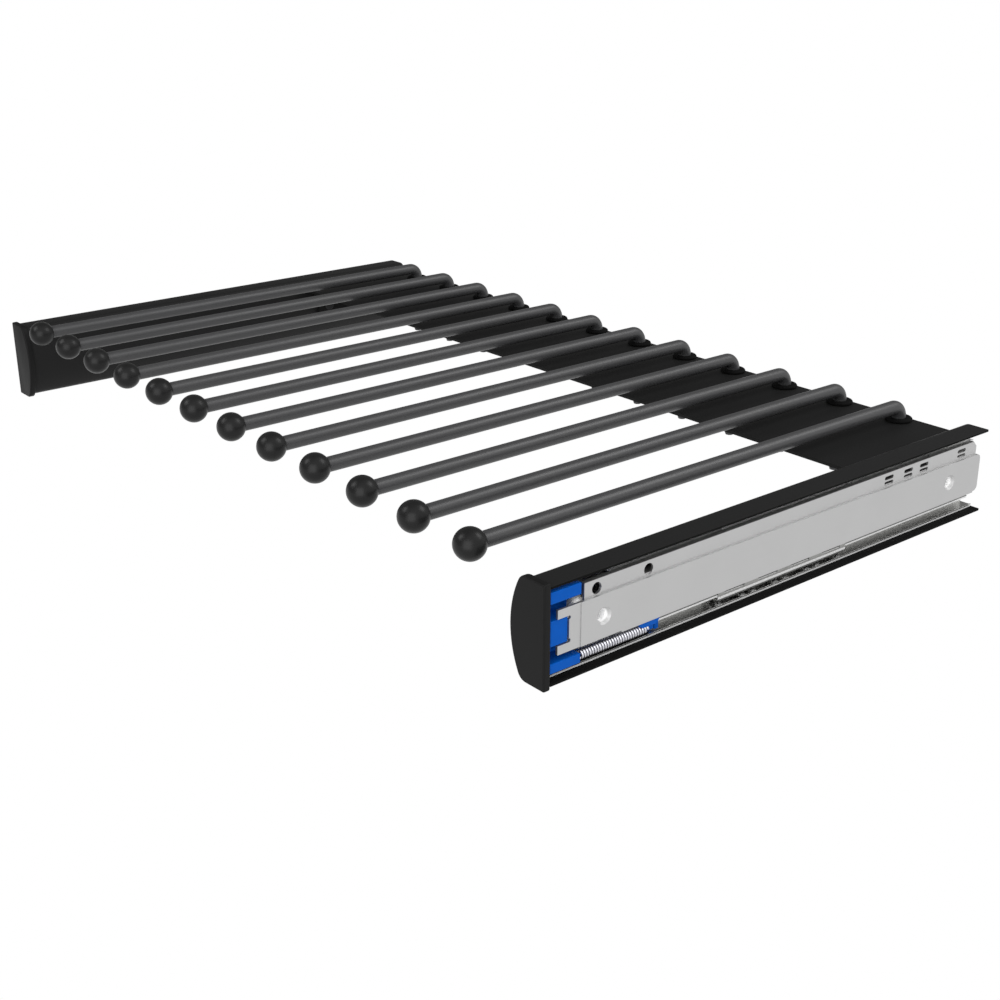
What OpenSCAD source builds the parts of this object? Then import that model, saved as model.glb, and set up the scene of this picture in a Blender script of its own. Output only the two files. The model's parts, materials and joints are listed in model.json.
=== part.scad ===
// Pull-out trouser rack for a wardrobe. Two side rails ride on ball-bearing runners, and a cross
// panel at the back carries twelve rods that point to the front, each with a ball on its end.
// X runs across the wardrobe, -Y is the front, +Z is up. The origin is at the middle of the
// bottom of the whole rack, closed. Inside the modules Y is measured from the line of the balls,
// Z from the underside of the rails, and the depth of a runner part inwards from the side wall.

/* [Wardrobe and rails] */
// Clear width between the wardrobe's side walls
clear_w = 564; // [530:1:900]
// Distance from the line of the balls back to the rear end of the rails
rail_end_y = 323.4; // [318:0.2:420]
// Height of a side rail
rail_h = 48; // [47:0.5:60]
// How far a rail bulges inwards from the wall
rail_bulge = 21.6; // [20:0.1:30]
// Radius of the rail's bulging side
rail_bow_r = 50; // [40:1:80]
// Radius of the rail's inner corners
rail_corner_r = 5; // [3:0.5:7]
// Thickness of the rail's flanges
flange_t = 1.4; // [1:0.1:2]
// Thickness of the rail's other walls
rail_wall = 1.5; // [1:0.1:2]
// Depth of the channel that the runner lies in
channel_depth = 13.2; // [13:0.1:14]
// Gap between a rail and the side wall
wall_gap = 0.5; // [0.2:0.1:1]

/* [End caps] */
// Thickness of an end cap's face
cap_t = 4; // [2:0.1:6]
// How far a cap stands proud of the rail
cap_proud = 1.6; // [0.5:0.1:3]
// Distance of the cap's face in front of the line of the balls
cap_lead = 0.4; // [0:0.1:3]
// Length of the plug that holds a cap in its rail
cap_plug_l = 12; // [6:1:25]

/* [Rods and balls] */
// Diameter of a rod
rod_d = 8; // [6:0.5:10]
// Distance from a side wall to the rod nearest to it
rod_margin = 51; // [46:0.5:120]
// Height of the rods' axes above the rails
rod_rise = 3.8; // [2:0.1:12]
// Centre-line radius of a rod's bend
rod_bend_r = 7; // [5:0.5:8]
// Distance from the panel's back to a rod's foot
rod_foot_inset = 9.5; // [7:0.5:18]
// Diameter of a ball
ball_d = 16; // [12:0.5:20]
// Depth of the bore in a ball
ball_bore_l = 11; // [6:0.5:12]
// Diameter of the collar at a rod's foot
collar_d = 15.5; // [11:0.1:18]
// Thickness of a collar
collar_t = 2.3; // [0.8:0.1:2.3]
// Diameter of the stud below a rod
stud_d = 6; // [4:0.5:6.5]
// Height of a stud's tip above the rails' underside
stud_tip_z = 1.4; // [0:0.1:4]
// Width of a stud nut across its flats
nut_w = 10; // [9:0.5:12]
// Thickness of a stud nut
nut_t = 5; // [3:0.5:6]

/* [Cross panel] */
// Depth of the panel from front to back
panel_depth = 96.5; // [60:0.5:140]
// Thickness of the panel's sheet
panel_t = 2; // [1.2:0.1:2.5]
// Drop of the panel below the top of the rails
panel_drop = 5; // [4:0.1:8]
// Gap between the panel's back and the rear end of the rails
panel_rear_gap = 2.4; // [1:0.1:2.6]
// Width of the return lip below the panel
panel_lip_w = 15; // [13:0.5:30]
// Height of the return lip's underside above the rails' underside
panel_lip_z = 5.8; // [5:0.1:12]

/* [Panel brackets] */
// Length of a bracket along the rail
bracket_l = 56; // [40:1:64]
// Width of a bracket's flat leg
bracket_w = 26; // [18:1:40]
// Thickness of a bracket
bracket_t = 2.4; // [1.8:0.1:4]
// Distance from the panel's front edge back to a bracket
bracket_setback = 12; // [4:1:16]
// Diameter of a bracket screw
bracket_screw_d = 4; // [3:0.5:5]

/* [Runner members] */
// Thickness of the runner's sheet steel
sheet_t = 1.2; // [1:0.1:1.3]
// Thickness of the middle member's sheet steel
middle_t = 1; // [0.8:0.1:1.1]
// Distance of the rack member's flange edges from the wall
rack_edge = 5.2; // [5:0.1:6.4]
// Distance of the middle member's flange edges from the wall
middle_edge = 7.2; // [7.1:0.1:7.4]
// Depth of the middle member's back from the wall
middle_back = 11.2; // [11:0.1:11.3]
// Height of the small lips that keep the balls in their tracks
track_lip = 0.4; // [0.2:0.1:0.4]
// Diameter of the outer balls
outer_ball_d = 4; // [3.5:0.1:4]
// Diameter of the inner balls
inner_ball_d = 3; // [2.6:0.1:3]
// Depth of the outer balls' centres from the wall
outer_ball_depth = 9.2; // [9.1:0.1:9.3]
// Depth of the inner balls' centres from the wall
inner_ball_depth = 8.6; // [8.5:0.1:8.7]
// Distance between the two balls of a pair in a cage
pair_l = 16.6; // [12:0.1:18]
// Distance from pair to pair
pair_pitch = 24.3; // [23:0.1:25]
// Thickness of a cage's sheet
cage_t = 0.4; // [0.3:0.1:0.4]
// Distance from the line of the balls to the front of the middle member
middle_front_y = 45; // [44:0.5:46]
// Distance from the line of the balls to the front of the inner cages
inner_cage_y = 118; // [116:0.5:130]
// Distance from the line of the balls to the front of the outer cages
outer_cage_y = 116.1; // [115.5:0.1:130]

/* [Cabinet member] */
// Distance from the line of the balls to the tips of the fork
fork_y = 7.5; // [6.4:0.1:10]
// Distance from the line of the balls to the bottom of the fork's notch
notch_y = 14.1; // [12.5:0.1:18]
// Height of the plate's lower edge above the rail's underside
plate_low_z = 14.2; // [13.8:0.1:16]
// Drop of the plate's fold below the top of the rail
plate_fold_drop = 12.4; // [12:0.1:14]
// Drop of the raised strip's top below the top of the rail
strip_drop = 4.7; // [4:0.1:6.5]
// Set-back of the strip and its front step from the plate's face
strip_back = 1.5; // [1.3:0.1:2]
// Set-back of the fork from the plate's face
fork_back = 0.4; // [0.2:0.1:0.6]
// Gap between the rear ends of the plate and the rail
plate_rear_gap = 6; // [1.4:0.2:9]
// Diameter of a wall screw hole
wall_hole_d = 4.5; // [3.5:0.1:5]
// Diameter of a wall screw hole's countersink
wall_sink_d = 8.6; // [6:0.1:9.5]
// Distance from the line of the balls to the front wall screw hole
wall_hole_y = 34.5; // [30:0.1:50]
// Distance from the rear wall screw hole to the rear end of the plate
wall_hole_inset = 26.9; // [20:0.1:70]
// Height of the fork's notch
notch_h = 12.8; // [10:0.1:14]

/* [Soft close] */
// Distance from the line of the balls to the back of the soft-close housing
housing_end_y = 21.6; // [18:0.1:24]
// Diameter of the closing spring's wire
spring_wire = 0.9; // [0.7:0.05:0.9]
// Outer diameter of the closing spring
spring_d = 5.6; // [4.5:0.1:5.8]
// Number of curls of a closing spring
spring_curls = 27; // [20:1:28]
// Distance from the line of the balls to the rear end of the closing spring
latch_y = 64.5; // [58:0.1:65]
// Length of the latch behind the spring
latch_l = 10.5; // [9:0.1:10.6]
// Length of the latch's nose over the spring
nose_l = 7; // [4:0.5:9]
// Outer diameter of the damper
damper_d = 3.6; // [2.6:0.1:3.6]
// Diameter of the damper's piston rod
piston_d = 1.6; // [1:0.1:1.8]

/* [Hidden] */
$fn = 64;
LEFT = -1;
RIGHT = 1;
ROD_COUNT = 12;
CAGE_BALLS = 8;
RINGS_PER_CURL = 8;
WIRE_SIDES = 6;

// Clearances, and the overrun of a cut past the face it opens
fit = 0.1;
run_gap = 0.3;
over = 1;

// The rail
wall_x = clear_w / 2;
ball_line_y = (ball_d / 2 - rail_end_y) / 2;
rail_z = cap_proud;
rail_front_y = cap_t - cap_lead;
rail_mid_z = rail_h / 2;
web_back = channel_depth + rail_wall;
chamber_ribs_gap = run_gap / 2;

// The rods
rod_pitch = (clear_w - 2 * rod_margin) / (ROD_COUNT - 1);
rod_z = rail_h + rod_rise;
ball_fit_y = ball_bore_l - ball_d / 2;
rod_front_y = -ball_fit_y;

// The cross panel
panel_top_z = rail_h - panel_drop;
panel_back_y = rail_end_y - panel_rear_gap;
panel_front_y = panel_back_y - panel_depth;
rod_foot_y = panel_back_y - rod_foot_inset;
panel_lip_front_y = panel_back_y - panel_lip_w;
stud_hole_d = stud_d + 2 * fit;
// Depth of the rail's bulging side at the height z
function bow_depth(z) = rail_bulge - rail_bow_r + sqrt(pow(rail_bow_r, 2) - pow(z - rail_mid_z, 2));
panel_end = bow_depth(panel_top_z - panel_t) + run_gap;
panel_web_end = rail_bulge + run_gap;

// The brackets and their screws
bracket_y = panel_front_y + bracket_setback;
bracket_top_z = panel_top_z - panel_t;
bracket_low_z = rail_mid_z - bracket_screw_d;
bracket_leg = rail_bulge + bracket_t;
bracket_screw_ys = [bracket_y + 2 * bracket_screw_d, bracket_y + bracket_l - 2 * bracket_screw_d];
bracket_screw_z = rail_mid_z + bracket_screw_d;
bracket_screw_hole_d = bracket_screw_d + 2 * fit;
bracket_screw_head_d = 2 * bracket_screw_d;
bracket_screw_head_t = bracket_screw_d / 2;
bracket_panel_screw_depth = bracket_leg + bracket_w / 2;
panel_skin_t = 0.6;

// The plate of the cabinet member and its wall screw holes
plate_fold_z = rail_h - plate_fold_drop;
plate_mid_z = (plate_low_z + plate_fold_z) / 2;
plate_end_y = rail_end_y - plate_rear_gap;
rear_hole_y = plate_end_y - wall_hole_inset;

// The rack member, fixed in the rail's channel, and its screws
rack_back = channel_depth;
rack_low_z = flange_t + fit;
rack_web = rack_back - sheet_t;
rack_end_y = rail_end_y - sheet_t;
track_lip_w = track_lip * 1.5;
member_screw_d = 3.5;
member_screw_head_d = 7;
member_screw_l = 3;
member_screw_ys = [wall_hole_y, (wall_hole_y + rear_hole_y) / 2, rear_hole_y];

// The heights of the ball tracks, from the rail's underside up to its middle
outer_ball_z = rack_low_z + sheet_t + fit + outer_ball_d / 2;
middle_low_z = outer_ball_z + outer_ball_d / 2 + fit;
inner_ball_z = middle_low_z + middle_t + fit + inner_ball_d / 2;
race_low_z = inner_ball_z + inner_ball_d / 2 + fit;
race_back = middle_back - middle_t - run_gap - 2 * cage_t;
race_front = race_back - 3 * sheet_t;
race_front_y = 46;
middle_end_gap = 2;
middle_end_y = rack_end_y - middle_end_gap;

// The cages and the balls in them
cage_end = 6.5;
function ball_place(i) = floor(i / 2) * pair_pitch + (i % 2) * pair_l;
cage_l = ball_place(CAGE_BALLS - 1) + cage_end;
cage_face_t = 0.3;
cage_face_depth = middle_edge - fit - cage_face_t;
cage_face_top_z = middle_low_z + 3 * middle_t;
cage_pillar = 1.2;
cage_window_z = middle_low_z + cage_t;
ball_hole_gap = fit;

// The cabinet member's details
strip_front_gap = 2;
strip_front_y = housing_end_y + strip_front_gap;
strip_top_z = rail_h - strip_drop;
fold_y = 20.8;
notch_low_z = plate_mid_z - notch_h / 2;
notch_top_z = plate_mid_z + notch_h / 2;
relief_d = 1.8;
plate_corner_r = 3;
strip_end_gap = 2.7;
strip_end_y = plate_end_y - strip_end_gap;
strip_corner = 3;
strip_lip_w = 2.7;
race_start = strip_back + sheet_t / 2;
wall_sink_depth = sheet_t / 3;
sight_hole_d = 5.6;
sight_hole_ys = [30.9, 62.5];
sight_hole_drop = 4.4;
slot_insets = [80.3, 63.9, 50.3, 16.5];
slot_drops = [5.8, 2.9];
slot_l = 7.4;
slot_h = 2;
latch_end_y = latch_y + latch_l;
catch_inset = 2.8;
catch_y = latch_end_y - catch_inset;
catch_t = 2;

// The soft-close unit
housing_y = rail_front_y + run_gap;
housing_face = 1;
housing_low_z = rack_low_z + sheet_t + track_lip + run_gap;
housing_wall = 1.6;
housing_back = rack_web - fit;
housing_top_block_drop = 9.1;
housing_top_block_z = rail_h - housing_top_block_drop;
housing_low_block_z = 10.5;
housing_low_block_low_z = 5.7;
housing_key_low_z = notch_low_z + run_gap;
housing_key_top_z = notch_top_z - run_gap;
housing_key_end_y = notch_y - run_gap;
spring_depth = 3.9;
spring_z = 8.4;
spring_y = housing_end_y;
spring_l = latch_y - spring_y;
latch_face = 1;
latch_body_face = 2.4;
latch_back = middle_edge - run_gap;
latch_low_z = 6.2;
latch_top_z = race_low_z - run_gap;
latch_notch_depth = 1.4;
latch_notch_l = catch_t + 2 * run_gap;
nose_w = 2.1;
catch_depth = latch_face + nose_w + run_gap;
nose_top_z = plate_low_z - sheet_t - run_gap;
nose_tip_h = 0.6;
nose_chin_l = 2;
nose_chin_h = 0.6;
latch_foot_l = 2.5;
latch_foot_back = rack_web - run_gap;
damper_depth = rack_web - run_gap - damper_d / 2;
damper_z = rack_low_z + sheet_t + run_gap + damper_d / 2;
latch_foot_y = latch_end_y - latch_foot_l;
damper_end_y = latch_foot_y - piston_d;
piston_inset = 44;

// Puts a piece in its place in the rack
module placed() {
    translate([0, ball_line_y, rail_z]) children();
}

// Puts a piece that is drawn for the right side on either side
module on_side(side) {
    placed() if (side == LEFT) mirror([1, 0, 0]) children(); else children();
}

// Runs a section, drawn as depth from the wall and height, along Y
module along(y0, y1) {
    translate([wall_x, y1, 0]) rotate([90, 0, 0]) linear_extrude(y1 - y0) mirror([1, 0]) children();
}

// A block between two depths from the wall, two places in Y and two heights
module block(depth0, depth1, y0, y1, z0, z1) {
    translate([wall_x - depth1, y0, z0]) cube([depth1 - depth0, y1 - y0, z1 - z0]);
}

// A round pin or hole between two depths from the wall
module cross_pin(depth0, depth1, y, z, d) {
    translate([wall_x - depth1, y, z]) rotate([0, 90, 0]) cylinder(d = d, h = depth1 - depth0);
}

// A cone between two depths from the wall
module cross_cone(depth0, depth1, y, z, wall_d, inner_d) {
    translate([wall_x - depth1, y, z]) rotate([0, 90, 0])
        cylinder(d1 = inner_d, d2 = wall_d, h = depth1 - depth0);
}

// The outline that the rail and its cap share: flat above and below, bulging inwards
module bow_outline(height, bulge, bow_r, corner_r) {
    bow_x = bulge - bow_r;
    corner_z = height / 2 - corner_r;
    corner_x = bow_x + sqrt(pow(bow_r - corner_r, 2) - pow(corner_z, 2));
    translate([0, rail_mid_z]) {
        translate([0, -height / 2]) square([corner_x, height]);
        for (s = [-1, 1]) translate([corner_x, s * corner_z]) circle(r = corner_r);
        intersection() {
            translate([bow_x, 0]) circle(r = bow_r);
            polygon([[bow_x, 0], [bow_x + 2 * (corner_x - bow_x), 2 * corner_z],
                [bow_x + 2 * (corner_x - bow_x), -2 * corner_z]]);
        }
    }
}

// The hollow between the rail's web and its bulging side, drawn in by inset
module chamber(inset) {
    wall = rail_wall + inset;
    intersection() {
        bow_outline(rail_h - 2 * wall, rail_bulge - wall, rail_bow_r - wall, rail_corner_r - wall);
        translate([web_back + inset, 0]) square([rail_bulge, rail_h]);
    }
}

module rail(side) {
    color("#282828") on_side(side) difference() {
        along(rail_front_y, rail_end_y) difference() {
            intersection() {
                bow_outline(rail_h, rail_bulge, rail_bow_r, rail_corner_r);
                translate([wall_gap, 0]) square([rail_bulge, rail_h]);
            }
            translate([0, flange_t]) square([channel_depth, rail_h - 2 * flange_t]);
            chamber(0);
        }
        for (y = member_screw_ys)
            cross_pin(channel_depth - over, web_back + over, y, rail_mid_z, member_screw_d + 2 * fit);
        for (y = bracket_screw_ys)
            cross_pin(rail_bulge - 2 * rail_wall, rail_bulge + over, y, bracket_screw_z,
                bracket_screw_hole_d);
    }
}

module end_cap(side) {
    color("#2a2a2a") on_side(side) {
        along(-cap_lead, rail_front_y) intersection() {
            bow_outline(rail_h + 2 * cap_proud, rail_bulge + cap_proud, rail_bow_r,
                rail_corner_r + cap_proud / 2);
            translate([wall_gap / 2, -cap_proud])
                square([rail_bulge + cap_proud, rail_h + 2 * cap_proud]);
        }
        along(rail_front_y, rail_front_y + cap_plug_l) chamber(chamber_ribs_gap);
    }
}

// Places something at each rod
module at_rods() {
    for (i = [1:ROD_COUNT]) translate([rod_x(i), 0, 0]) children();
}

function rod_x(i) = (i - (ROD_COUNT + 1) / 2) * rod_pitch;

module cross_panel() {
    color("#222222") placed() difference() {
        union() {
            block(panel_end, clear_w - panel_end, panel_front_y, panel_back_y,
                panel_top_z - panel_t, panel_top_z);
            block(panel_web_end, clear_w - panel_web_end, panel_back_y - panel_t, panel_back_y,
                panel_lip_z, panel_top_z);
            block(panel_web_end, clear_w - panel_web_end, panel_lip_front_y, panel_back_y,
                panel_lip_z, panel_lip_z + panel_t);
        }
        at_rods() translate([0, rod_foot_y, panel_lip_z - over])
            cylinder(d = stud_hole_d, h = panel_top_z - panel_lip_z + 2 * over);
        for (side = [LEFT, RIGHT], y = bracket_screw_ys)
            translate([side * (wall_x - bracket_panel_screw_depth), y, bracket_top_z - over])
                cylinder(d = bracket_screw_hole_d, h = panel_t - panel_skin_t + over);
    }
}

module rod(i) {
    bend_y = rod_foot_y - rod_bend_r;
    bend_z = rod_z - rod_bend_r;
    color("#424242") placed() translate([rod_x(i), 0, 0]) {
        translate([0, bend_y, rod_z]) rotate([90, 0, 0]) cylinder(d = rod_d, h = bend_y - rod_front_y);
        translate([0, bend_y, bend_z]) rotate([90, 0, 90]) rotate_extrude(angle = 90)
            translate([rod_bend_r, 0]) circle(d = rod_d);
        translate([0, rod_foot_y, panel_top_z]) cylinder(d = rod_d, h = bend_z - panel_top_z);
        translate([0, rod_foot_y, stud_tip_z]) cylinder(d = stud_d, h = panel_top_z - stud_tip_z);
    }
}

// A ball is turned about its rod's axis, with the bore behind
module rod_ball(i) {
    color("#262626") placed() translate([rod_x(i), 0, rod_z]) rotate([-90, 0, 0])
        rotate_extrude() difference() {
            circle(d = ball_d);
            translate([-ball_d, -ball_d]) square([ball_d, 2 * ball_d]);
            translate([-over, -ball_fit_y]) square([rod_d / 2 + fit + over, ball_d]);
        }
}

module rod_collars() {
    color("#0a0a0a") placed() at_rods() translate([0, rod_foot_y, panel_top_z]) difference() {
        cylinder(d1 = collar_d, d2 = collar_d - 2 * collar_t, h = collar_t);
        translate([0, 0, -over]) cylinder(d = rod_d + 2 * fit, h = collar_t + 2 * over);
    }
}

// One nut draws each stud up under the panel, and another holds it on the return lip
module stud_nuts() {
    color("#101010") placed() at_rods()
        for (z = [bracket_top_z - nut_t, panel_lip_z + panel_t])
            translate([0, rod_foot_y, z]) difference() {
                cylinder(d = nut_w / cos(30), h = nut_t, $fn = 6);
                translate([0, 0, -over]) cylinder(d = stud_hole_d, h = nut_t + 2 * over);
            }
}

module panel_bracket(side) {
    color("#1e1e1e") on_side(side) difference() {
        union() {
            block(panel_end, bracket_leg + bracket_w, bracket_y, bracket_y + bracket_l,
                bracket_top_z - bracket_t, bracket_top_z);
            block(panel_end - bracket_t, bracket_leg, bracket_y, bracket_y + bracket_l,
                bracket_low_z, bracket_top_z);
        }
        along(bracket_y - over, bracket_y + bracket_l + over)
            bow_outline(rail_h + 2 * fit, rail_bulge + fit, rail_bow_r + fit, rail_corner_r + fit);
        for (y = bracket_screw_ys) {
            cross_pin(panel_end, bracket_leg + over, y, bracket_screw_z, bracket_screw_hole_d);
            translate([wall_x - bracket_panel_screw_depth, y, bracket_top_z - bracket_t - over])
                cylinder(d = bracket_screw_hole_d, h = bracket_t + 2 * over);
        }
    }
}

// A screw that reaches a length beyond the bracket
module bracket_screw(reach) {
    cylinder(d = bracket_screw_head_d, h = bracket_screw_head_t);
    cylinder(d = bracket_screw_d, h = bracket_screw_head_t + bracket_t + reach);
}

module bracket_screws() {
    color("#141414") for (side = [LEFT, RIGHT]) on_side(side) for (y = bracket_screw_ys) {
        translate([wall_x - bracket_leg - bracket_screw_head_t, y, bracket_screw_z])
            rotate([0, 90, 0]) bracket_screw(2 * rail_wall);
        translate([wall_x - bracket_panel_screw_depth, y,
            bracket_top_z - bracket_t - bracket_screw_head_t])
                bracket_screw(panel_t - panel_skin_t - fit);
    }
}

// A channel section that opens towards the wall, with lips along its flanges' edges
module channel_section(edge, back, low_z, t, lip_in, lip_out) {
    difference() {
        union() {
            translate([edge, low_z]) square([back - edge, rail_h - 2 * low_z]);
            translate([edge, low_z - lip_out])
                square([track_lip_w, rail_h - 2 * low_z + 2 * lip_out]);
        }
        translate([edge + track_lip_w, low_z + t])
            square([back - t - edge - track_lip_w, rail_h - 2 * (low_z + t)]);
        translate([edge - over, low_z + t + lip_in])
            square([track_lip_w + 2 * over, rail_h - 2 * (low_z + t + lip_in)]);
    }
}

module rack_member(side) {
    color("#bcbcbc") on_side(side) difference() {
        along(rail_front_y, rack_end_y)
            channel_section(rack_edge, rack_back, rack_low_z, sheet_t, track_lip, 0);
        for (y = member_screw_ys)
            cross_cone(rack_web, rack_back, y, rail_mid_z, member_screw_head_d, member_screw_d);
    }
}

module rack_member_screws() {
    color("#8c8c8c") for (side = [LEFT, RIGHT]) on_side(side) for (y = member_screw_ys) {
        cross_cone(rack_web, rack_back, y, rail_mid_z, member_screw_head_d - 2 * fit,
            member_screw_d - 2 * fit);
        cross_pin(rack_back - fit, rack_back + member_screw_l, y, rail_mid_z,
            member_screw_d - 2 * fit);
    }
}

module middle_member(side) {
    color("#c6c6c6") on_side(side) along(middle_front_y, middle_end_y)
        channel_section(middle_edge, middle_back, middle_low_z, middle_t, track_lip / 2,
            track_lip / 2);
}

// The heights of the lower and the upper row of a runner's balls
function rows(low_z) = [low_z, rail_h - low_z];

// A cage: a thin web with a strip along each row, bored for the balls
module cage(side, y, front, web, ball_depth, low_z, d) {
    on_side(side) difference() {
        union() {
            block(web, web + cage_t, y, y + cage_l, low_z - cage_t, rail_h - low_z + cage_t);
            for (z = rows(low_z))
                block(front, web + cage_t, y, y + cage_l, z - cage_t, z + cage_t);
        }
        cage_rows(y, low_z, ball_depth)
            translate([0, 0, -d / 2]) cylinder(d = d + 2 * ball_hole_gap, h = d);
    }
}

module cage_rows(y, low_z, ball_depth) {
    for (z = rows(low_z), i = [0:CAGE_BALLS - 1])
        translate([wall_x - ball_depth, y + cage_end / 2 + ball_place(i), z]) children();
}

// The outer cage also has a face towards the wall, with a window between the balls of each pair
module outer_cage(side) {
    color("#b0b0b0") {
        cage(side, outer_cage_y, cage_face_depth,
            middle_back + (rack_web - middle_back - cage_t) / 2, outer_ball_depth, outer_ball_z,
            outer_ball_d);
        on_side(side) {
            cage_face();
            translate([0, 0, rail_h]) mirror([0, 0, 1]) cage_face();
        }
    }
}

module cage_face() {
    difference() {
        block(cage_face_depth, cage_face_depth + cage_face_t, outer_cage_y, outer_cage_y + cage_l,
            outer_ball_z - cage_t, cage_face_top_z);
        for (i = [0:CAGE_BALLS / 2 - 1])
            block(cage_face_depth - over, cage_face_depth + cage_face_t + over,
                outer_cage_y + cage_end / 2 + i * pair_pitch + cage_pillar,
                outer_cage_y + cage_end / 2 + i * pair_pitch + pair_l - cage_pillar,
                cage_window_z, cage_face_top_z - cage_t);
    }
}

module inner_cage(side) {
    color("#d0d0d0") cage(side, inner_cage_y, middle_edge + fit,
        race_back + (middle_back - middle_t - race_back - cage_t) / 2, inner_ball_depth,
        inner_ball_z, inner_ball_d);
}

module outer_balls() {
    color("#d8d8d8") for (side = [LEFT, RIGHT]) on_side(side)
        cage_rows(outer_cage_y, outer_ball_z, outer_ball_depth) sphere(d = outer_ball_d);
}

module inner_balls() {
    color("#d8d8d8") for (side = [LEFT, RIGHT]) on_side(side)
        cage_rows(inner_cage_y, inner_ball_z, inner_ball_depth) sphere(d = inner_ball_d);
}

// The plate's fork and face, as places in Y and heights
module plate_outline(y0, y1) {
    intersection() {
        difference() {
            union() {
                translate([fork_y, plate_low_z])
                    square([plate_end_y - fork_y - plate_corner_r, plate_fold_z - plate_low_z]);
                translate([plate_end_y - 2 * plate_corner_r, plate_low_z + plate_corner_r])
                    square([2 * plate_corner_r, plate_fold_z - plate_low_z - 2 * plate_corner_r]);
                for (z = [plate_low_z + plate_corner_r, plate_fold_z - plate_corner_r])
                    translate([plate_end_y - plate_corner_r, z]) circle(r = plate_corner_r);
            }
            translate([0, notch_low_z]) square([notch_y, notch_h]);
            for (z = [notch_low_z + relief_d / 2, notch_top_z - relief_d / 2])
                translate([notch_y, z]) circle(d = relief_d);
        }
        translate([y0, 0]) square([y1 - y0, rail_h]);
    }
}

// Stands a shape drawn in Y and height at a depth from the wall
module upright(depth, t) {
    translate([wall_x - depth - t, 0, 0]) rotate([90, 0, 90]) linear_extrude(t) children();
}

module slot(l, h) {
    square([l - h, h], center = true);
    for (s = [-1, 1]) translate([s * (l - h) / 2, 0]) circle(d = h);
}

module strip_outline() {
    low_z = plate_fold_z - sheet_t;
    difference() {
        polygon([[strip_front_y, low_z], [strip_end_y, low_z],
            [strip_end_y, strip_top_z - strip_corner], [strip_end_y - strip_corner, strip_top_z],
            [strip_front_y, strip_top_z]]);
        for (y = sight_hole_ys) translate([y, strip_top_z - sight_hole_drop]) circle(d = sight_hole_d);
        for (inset = slot_insets, drop = slot_drops)
            translate([plate_end_y - inset, strip_top_z - drop]) slot(slot_l, slot_h);
    }
}

// The arm that carries a ball track in from the plate, lower side
module race_section() {
    translate([sheet_t / 2, plate_low_z - sheet_t]) square([race_front + sheet_t / 2, sheet_t]);
    translate([race_front, race_low_z]) square([sheet_t, plate_low_z - race_low_z]);
    translate([race_front, race_low_z]) square([race_back - race_front, sheet_t]);
}

module cabinet_member(side) {
    upper_low_z = rail_h - race_low_z - sheet_t;
    color("#c0c0c0") on_side(side) difference() {
        union() {
            upright(0, sheet_t) plate_outline(fold_y, plate_end_y);
            upright(fork_back, sheet_t) plate_outline(fork_y, fold_y + sheet_t);
            upright(strip_back, sheet_t) strip_outline();
            along(strip_front_y, strip_end_y) translate([0, plate_fold_z - sheet_t])
                square([strip_back + sheet_t, sheet_t]);
            along(race_front_y, strip_end_y) race_section();
            along(race_front_y, strip_end_y) translate([race_start, upper_low_z])
                square([race_back - race_start, sheet_t]);
            along(strip_front_y, strip_end_y - strip_corner)
                translate([strip_back, strip_top_z - sheet_t]) square([strip_lip_w, sheet_t]);
            block(catch_depth, race_front + sheet_t, catch_y - catch_t / 2, catch_y + catch_t / 2,
                latch_top_z + run_gap, plate_low_z);
        }
        for (y = [wall_hole_y, rear_hole_y]) {
            cross_pin(-over, sheet_t + over, y, plate_mid_z, wall_hole_d);
            cross_cone(0, wall_sink_depth, y, plate_mid_z, wall_sink_d, wall_hole_d);
            cross_cone(sheet_t - wall_sink_depth, sheet_t, y, plate_mid_z, wall_hole_d, wall_sink_d);
        }
    }
}

module soft_close_housing(side) {
    color("#1060c0") on_side(side) {
        block(housing_back - housing_wall, housing_back, housing_y, housing_end_y,
            housing_low_z, rail_h - housing_low_z);
        block(housing_face, housing_back, housing_y, housing_end_y, housing_top_block_z,
            rail_h - housing_low_z);
        block(housing_face, housing_back, housing_y, housing_key_end_y, housing_key_low_z,
            housing_key_top_z);
        block(housing_face, housing_back, housing_y, housing_end_y, housing_low_block_low_z,
            housing_low_block_z);
    }
}

module damper(side) {
    color("#303030") on_side(side) translate([wall_x - damper_depth, 0, damper_z]) difference() {
        translate([0, damper_end_y, 0]) rotate([90, 0, 0])
            cylinder(d = damper_d, h = damper_end_y - housing_end_y);
        translate([0, damper_end_y + over, 0]) rotate([90, 0, 0])
            cylinder(d = piston_d + 2 * fit, h = piston_inset + over);
    }
}

module damper_piston(side) {
    front_y = damper_end_y - piston_inset + fit;
    color("#d0d0d0") on_side(side) translate([wall_x - damper_depth, latch_foot_y, damper_z])
        rotate([90, 0, 0]) cylinder(d = piston_d, h = latch_foot_y - front_y);
}

// The latch's nose, as places in Y and heights: it reaches over the spring and passes the catch
module nose_outline() {
    polygon([[latch_y - nose_l, nose_top_z], [catch_y - latch_notch_l / 2, nose_top_z],
        [catch_y - latch_notch_l / 2, latch_top_z], [latch_y + nose_chin_l, latch_top_z - nose_chin_h],
        [latch_y, spring_z + spring_d / 2 + fit], [latch_y - nose_l, nose_top_z - nose_tip_h]]);
}

module latch(side) {
    color("#1464c8") on_side(side) {
        upright(latch_face, nose_w) nose_outline();
        difference() {
            union() {
                block(latch_body_face, latch_back, latch_y, latch_end_y, latch_low_z, latch_top_z);
                block(latch_body_face, latch_foot_back, latch_foot_y, latch_end_y,
                    damper_z - piston_d / 2, damper_z + damper_d / 2);
                block(latch_body_face, latch_back, latch_foot_y, latch_end_y, damper_z, latch_top_z);
            }
            block(0, latch_back + over, catch_y - latch_notch_l / 2, catch_y + latch_notch_l / 2,
                latch_top_z - latch_notch_depth, latch_top_z + over);
        }
    }
}

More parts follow.
